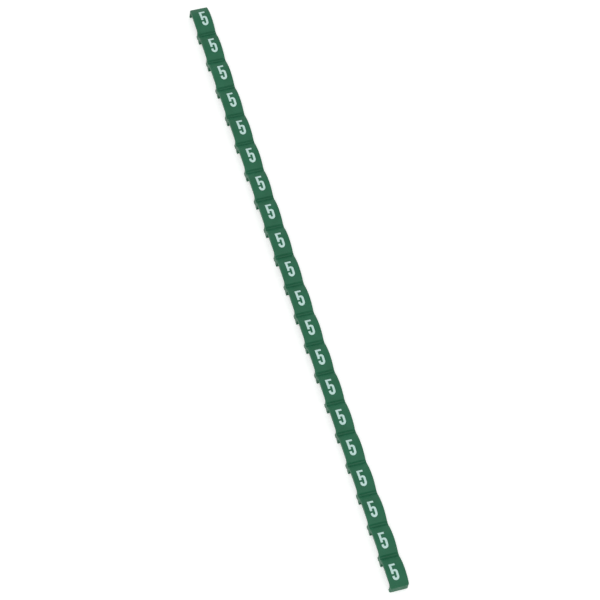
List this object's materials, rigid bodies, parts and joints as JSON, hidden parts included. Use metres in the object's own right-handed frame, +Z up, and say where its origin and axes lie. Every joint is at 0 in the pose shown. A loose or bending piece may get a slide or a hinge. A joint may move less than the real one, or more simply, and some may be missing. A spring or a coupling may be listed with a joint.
{
  "type": "cable marker strip",
  "caption": "One-piece moulded strip of arched clip-on cable markers, each printed with a figure and joined to the next by a thin break-off web.",
  "frame": {"origin": "under the middle of the strip, in the plane of its feet", "axes": "+X along the wire that a marker clips on, +Y along the strip towards the tops of the printed figures, +Z up out of the printed tops"},
  "size_m": [0.0024, 0.0816, 0.0018],
  "materials": {
    "green_plastic": "satin moulded plastic",
    "white_ink": "matt print"
  },
  "bodies": {
    "root": {"marker_strip": "green_plastic"}
  },
  "joints": []
}
